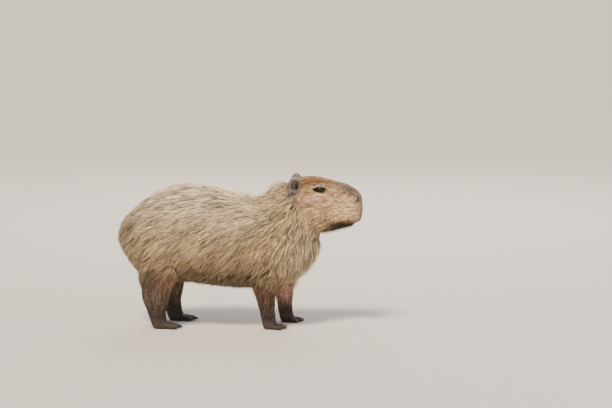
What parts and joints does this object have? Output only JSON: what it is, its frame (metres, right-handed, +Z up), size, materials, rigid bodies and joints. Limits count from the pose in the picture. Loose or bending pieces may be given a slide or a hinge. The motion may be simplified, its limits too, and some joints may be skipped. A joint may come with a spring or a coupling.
{
  "type": "capybara model",
  "caption": "Life-size standing capybara with a long bristly coat, head raised and looking ahead, parted into torso, neck, head, ears, eyes, legs, feet and claws.",
  "frame": {"origin": "on the floor, under the middle of the whole", "axes": "+X towards the nose, +Y towards the animal's left side, +Z up"},
  "size_m": [0.941, 0.324, 0.586],
  "materials": {
    "body_coat": "coarse bristly hair, straw-coloured tips over brown",
    "face_coat": "short flat-lying hair, reddish tan",
    "leg_coat": "short brown hair, darker towards the foot",
    "ear_skin": "thin bare skin, grey-pink",
    "eye_glass": "polished dark brown glass",
    "foot_skin": "thinly haired scaly skin, dark purple-grey",
    "claw_horn": "blunt dark horn"
  },
  "bodies": {
    "root": {"torso": "body_coat", "neck": "body_coat", "head": "face_coat", "ear_right": "ear_skin", "ear_left": "ear_skin", "eye_right": "eye_glass", "eye_left": "eye_glass", "foreleg_right": "leg_coat", "forefoot_right": "foot_skin", "claw_fore_right_1": "claw_horn", "claw_fore_right_2": "claw_horn", "claw_fore_right_3": "claw_horn", "claw_fore_right_4": "claw_horn", "foreleg_left": "leg_coat", "forefoot_left": "foot_skin", "claw_fore_left_1": "claw_horn", "claw_fore_left_2": "claw_horn", "claw_fore_left_3": "claw_horn", "claw_fore_left_4": "claw_horn", "hindleg_right": "leg_coat", "hindfoot_right": "foot_skin", "claw_hind_right_1": "claw_horn", "claw_hind_right_2": "claw_horn", "claw_hind_right_3": "claw_horn", "hindleg_left": "leg_coat", "hindfoot_left": "foot_skin", "claw_hind_left_1": "claw_horn", "claw_hind_left_2": "claw_horn", "claw_hind_left_3": "claw_horn"}
  },
  "joints": []
}
